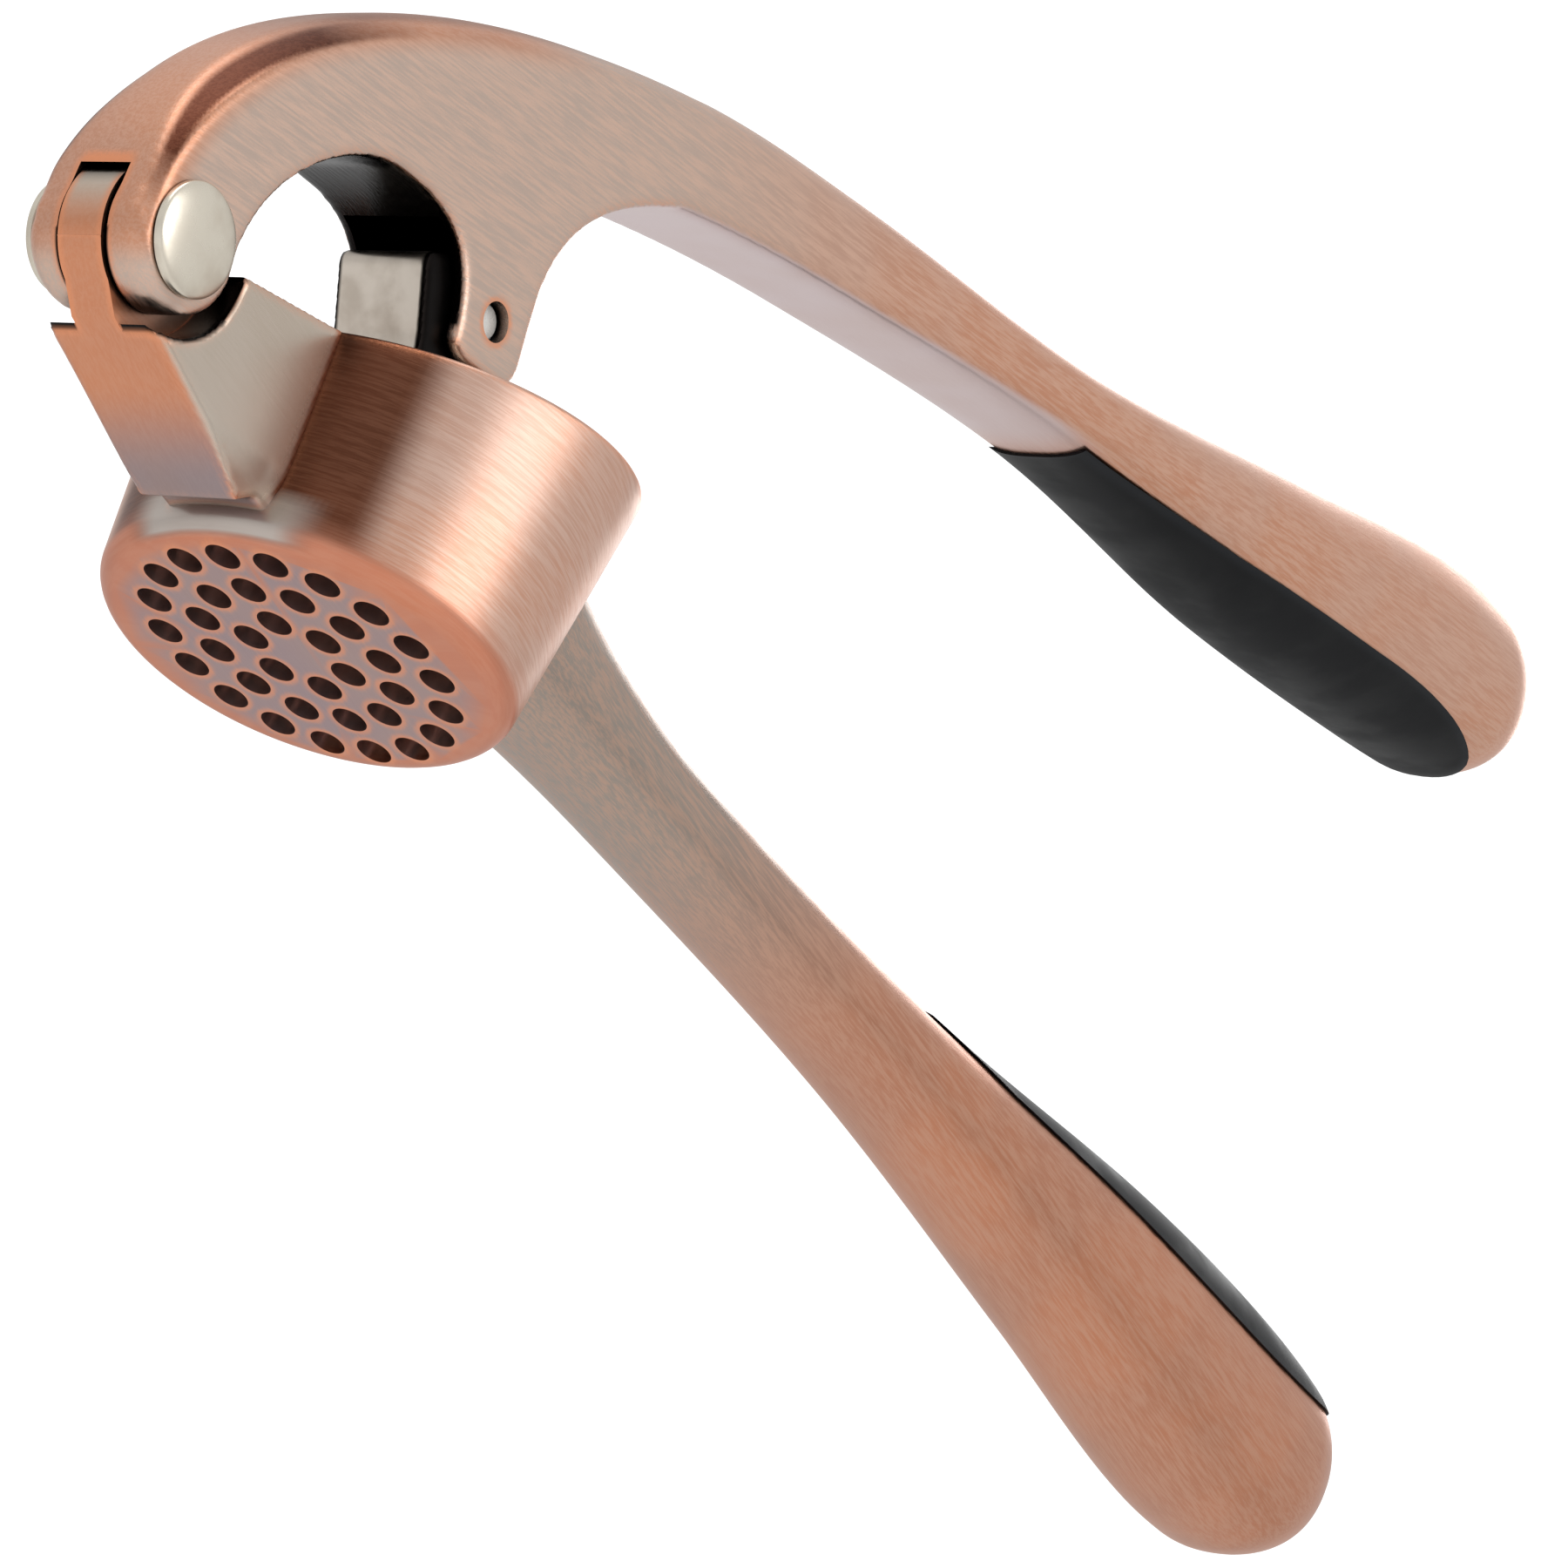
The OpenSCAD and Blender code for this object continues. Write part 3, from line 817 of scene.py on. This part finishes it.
def buildLowerLever(v):
    centre = (hinge.x, hinge.z)
    tongueHalf = v["tongueWidth"] / 2
    neck = cut(neckSolid(v), disc("seat", v["seatRadius"], -8, 8, centre))
    neck = fuse("neck", [neck], 0.28, 3)
    body = fuse("lower", [handle("handle", v, 10)], v["voxel"], 4)
    combine(body, neck, "UNION")
    cut(body, hopperInside(v, v["wall"] / 2))
    combine(body, hopperCup(v), "UNION")
    for rings in sieveHoles(v):
        cut(body, loft("hole", rings))
    combine(body, plate("web", v["tongueWeb"], -tongueHalf, tongueHalf), "UNION")
    combine(body, disc("tongue", v["tongueRadius"], -tongueHalf, tongueHalf, centre), "UNION")
    cut(body, disc("bore", v["tongueBore"], -3, 3, centre), gripRoom(lowerSplit, 50))

    def zones(at, normal):
        height = at[:, 2]
        ahead = ((at[:, 0] - v["drift"] * height)
                 / (v["hopperLength"] + v["flareLength"] * height))
        aside = at[:, 1] / (v["hopperWidth"] + v["flareWidth"] * height)
        reach = np.hypot(ahead, aside)
        outside = ease(reach, 1.01, 1.05)
        neck = outside * (at[:, 0] < 0)
        side = np.abs(normal[:, 1])
        # painted reflection: the neck's forward and downward faces take the orange tone
        front = neck * ease(side, 0.85, 0.45) * ease(normal[:, 2], 0.4, 0.0)
        base = ease(at[:, 2], 2.0, 0.9)
        fromNeck = np.degrees(np.arctan2(np.abs(aside), -ahead))
        wall = (1 - outside) * ease(reach, 0.93, 0.96)
        foot = ease(at[:, 2], 3.6, 2.6) * ease(at[:, 2], 0.1, 0.45) * ease(fromNeck, 32, 18)
        onTongue = (np.abs(at[:, 1]) < tongueHalf + 0.05) & (at[:, 0] < -26)
        # on the tongue the painted orange reflection lies below the hinge
        front = np.where(onTongue, ease(at[:, 2], hinge.z + 1, hinge.z - 3), front)
        fromHinge = np.hypot(at[:, 0] - hinge.x, at[:, 2] - hinge.z)
        seat = ease(fromHinge, v["seatRadius"] + 0.35, v["seatRadius"] + 0.1) * ~onTongue
        top = onTongue * ease(at[:, 2], hinge.z + 0.2, hinge.z + 2.4)
        # painted shade: near-black in the hinge seat and on the tongue's top inside the fork slot
        return {"hopper": 1 - outside, "neck": neck, "neckFront": front,
                "hopperShade": wall * ease(fromNeck, 48, 36),
                "hopperFoot": wall * foot,
                "neckFoot": front * ease(at[:, 0], -27, -18),
                "base": base * (1 - outside) * (1 - foot),
                "recessShade": np.maximum(seat * outside, top),
                "sieve": ease(reach, 0.87, 0.84) * ease(at[:, 2], v["sieve"] + 0.3, v["sieve"])}

    return finishPiece(body, "lowerLever", "lower", "lower_lever",
                       copperLower, masks=zones)


lowerLever = buildLowerLever(lower)
print("lower lever", len(lowerLever.data.vertices), "vertices")


def buildGrip(name, body, node, v, split, far, place=None):
    whole = handle("grip", v, grips["start"] - 8, grips["proud"])
    soft = combine(whole, gripRoom(split, far), "INTERSECT")
    return finishPiece(soft, name, body, node, rubber, place)


upperGrip = buildGrip("upperGrip", "upper", "upper_grip", upper, upperSplit, 30, opened)
lowerGrip = buildGrip("lowerGrip", "lower", "lower_grip", lower, lowerSplit, 50)
print("grips ready")


rivet = {"radius": 4, "edge": 0.5, "dome": 0.7, "barrel": 2.5, "stud": 1.5, "studShort": 1.4}


def headProfile(v, start):
    # from the flat back of a head, round its edge and over the dome
    r, edge, dome = v["radius"], v["edge"], v["dome"]
    over = [(r * math.cos(t), start + edge + dome * math.sin(t))
            for t in (math.pi / 2 * i / 14 for i in range(14))]
    return [(r - 0.12, start), (r, start + 0.12)] + over + [(0.02, start + edge + dome)]


def buildRivet(v):
    w = upper["halfWidth"]
    centre = (hinge.x, hinge.z)
    barrel = lathe("barrel", [(v["barrel"], -w), (v["barrel"], w)] + headProfile(v, w), centre)
    cut(barrel, disc("inside", v["stud"] + 0.02, -w - 1, w - 1, centre))
    shank = [(v["stud"], -w + v["studShort"]), (v["stud"], w)]
    stud = lathe("stud", shank + headProfile(v, w), centre, side=-1)
    finishPiece(barrel, "rivetBarrel", "upper", "hinge_barrel", rivetSilver, opened)
    finishPiece(stud, "rivetStud", "upper", "hinge_stud", rivetSilver, opened)


buildRivet(rivet)


plunger = {
    "shankWidth": 8.1,
    "footGap": 1.1,
    "footThickness": 2.6,
    "footClear": 0.3,
    "lean": 0.72,      # share of the opening that the plunger leans by
    "pinLength": 8.8,
    "bearingGap": 0.06,
}


def buildPlunger(v):
    half = v["shankWidth"] / 2
    shank = (curve((-7.9, 1.0), (-7.5, 2.4), (-5, 2.4), (-2, 3.1), 8)
             + curve((-1.5, 3.2), (1, 4), (3.4, 2.2), (3.4, 0), 10)
             + [(3.4, -5), (3.8, -14), (-5.4, -14), (-5.3, -6.5), (-5.9, -4)])
    footZ = lower["sieve"] + v["footClear"] - plungerPin.z
    a = lower["hopperLength"] - lower["wall"] - v["footGap"]
    b = lower["hopperWidth"] - lower["wall"] - v["footGap"]
    thick = v["footThickness"]
    foot = loft("foot", [oval(a - d, b - d, -plungerPin.x, footZ + z)
                         for d, z in ((0.5, 0), (0, 0.5), (0, thick - 1), (1.4, thick))])
    body = fuse("plunger", [plate("shank", shank, -half, half), foot], 0.28, 4)
    cut(body, disc("bore", upper["pinRadius"] + v["bearingGap"], -9, 9, (0, 0), 48))
    place = (opened @ Matrix.Translation((plungerPin.x, 0, plungerPin.z))
             @ Matrix.Rotation(openAngle * (1 - v["lean"]), 4, "Y"))

    def zones(at, normal):
        # painted shade: near-black on the shank's sides and its upper end, which sit inside the
        # lever's lug
        shankSide = (np.abs(at[:, 1]) > half - 0.35) & (at[:, 2] > footZ + thick + 0.8)
        return {"recessShade": np.maximum(shankSide * 1.0, ease(at[:, 2], 0.2, 2.6))}

    finishPiece(body, "plunger", "plunger", "plunger", plungerSteel, place, zones)
    end = v["pinLength"] / 2
    r = upper["pinRadius"] - 0.02
    pin = lathe("pin", [(r - 0.25, -end), (r, -end + 0.25), (r, end - 0.25), (r - 0.25, end)],
                (plungerPin.x, plungerPin.z), turns=64)
    finishPiece(pin, "plungerPin", "upper", "plunger_pin", pinSteel, opened)


buildPlunger(plunger)
print("plunger ready")


studio = {
    "floorDrop": 215,          # below the sieve face
    "background": 1.5,
    "surround": 0.72,
    "lights": [                # name, heading, rise, distance, size, power
        ["key", 175, 50, 620, 420, 1.2],
        ["side", 260, 15, 600, 420, 0.9],
        ["under", 215, -60, 560, 260, 0.25],
        ["back", 20, 40, 700, 300, 0.6]],
    "aim": (64.7, 8.1, 36.1),
    "heading": 39.3,           # the way the camera looks
    "rise": 27.6,
    "roll": 25.3,
    "distance": 495.3,
    "lens": 140,
}


def away(heading, rise):
    h, r = math.radians(heading), math.radians(rise)
    return Vector((math.cos(h) * math.cos(r), math.sin(h) * math.cos(r), math.sin(r)))


def buildStudio(v):
    size = 4.0
    corners = [(-size, -size, 0), (size, -size, 0), (size, size, 0), (-size, size, 0)]
    floor = newObject("floor", corners, [(0, 1, 2, 3)])
    floor.location.z = -v["floorDrop"] * mm
    mat, tree, shader = newMaterial("paleFloor", 0.0, 0.7)
    shader.inputs["Base Color"].default_value = (0.86, 0.86, 0.86, 1)
    floor.data.materials.append(mat)

    world = bpy.data.worlds.new("studio")
    bpy.context.scene.world = world
    world.use_nodes = True
    tree = world.node_tree
    dim = tree.nodes["Background"]
    dim.inputs["Color"].default_value = (1, 1, 1, 1)
    dim.inputs["Strength"].default_value = v["surround"]
    white = tree.nodes.new("ShaderNodeBackground")
    white.inputs["Strength"].default_value = v["background"]
    seen = tree.nodes.new("ShaderNodeLightPath")
    mix = tree.nodes.new("ShaderNodeMixShader")
    tree.links.new(seen.outputs["Is Camera Ray"], mix.inputs["Fac"])
    tree.links.new(dim.outputs[0], mix.inputs[1])
    tree.links.new(white.outputs[0], mix.inputs[2])
    tree.links.new(mix.outputs[0], tree.nodes["World Output"].inputs["Surface"])

    aim = Vector(v["aim"])
    for name, heading, rise, distance, size, power in v["lights"]:
        lamp = bpy.data.lights.new(name, "AREA")
        lamp.size = size * mm
        lamp.energy = power
        obj = bpy.data.objects.new(name, lamp)
        obj.location = (aim + away(heading, rise) * distance) * mm
        obj.rotation_euler = (-away(heading, rise)).to_track_quat("-Z", "Y").to_euler()
        bpy.context.scene.collection.objects.link(obj)

    look = away(v["heading"], v["rise"])
    data = bpy.data.cameras.new("camera")
    data.lens = v["lens"]
    data.sensor_width = 36
    data.clip_start, data.clip_end = 0.01, 50
    camera = bpy.data.objects.new("camera", data)
    roll = Matrix.Rotation(math.radians(v["roll"]), 3, "Z")
    turn = look.to_track_quat("-Z", "Y").to_matrix() @ roll
    camera.matrix_world = Matrix.Translation((aim - look * v["distance"]) * mm) @ turn.to_4x4()
    bpy.context.scene.collection.objects.link(camera)
    bpy.context.scene.camera = camera
    bpy.context.scene.view_settings.view_transform = "Standard"


buildStudio(studio)
print("studio ready")
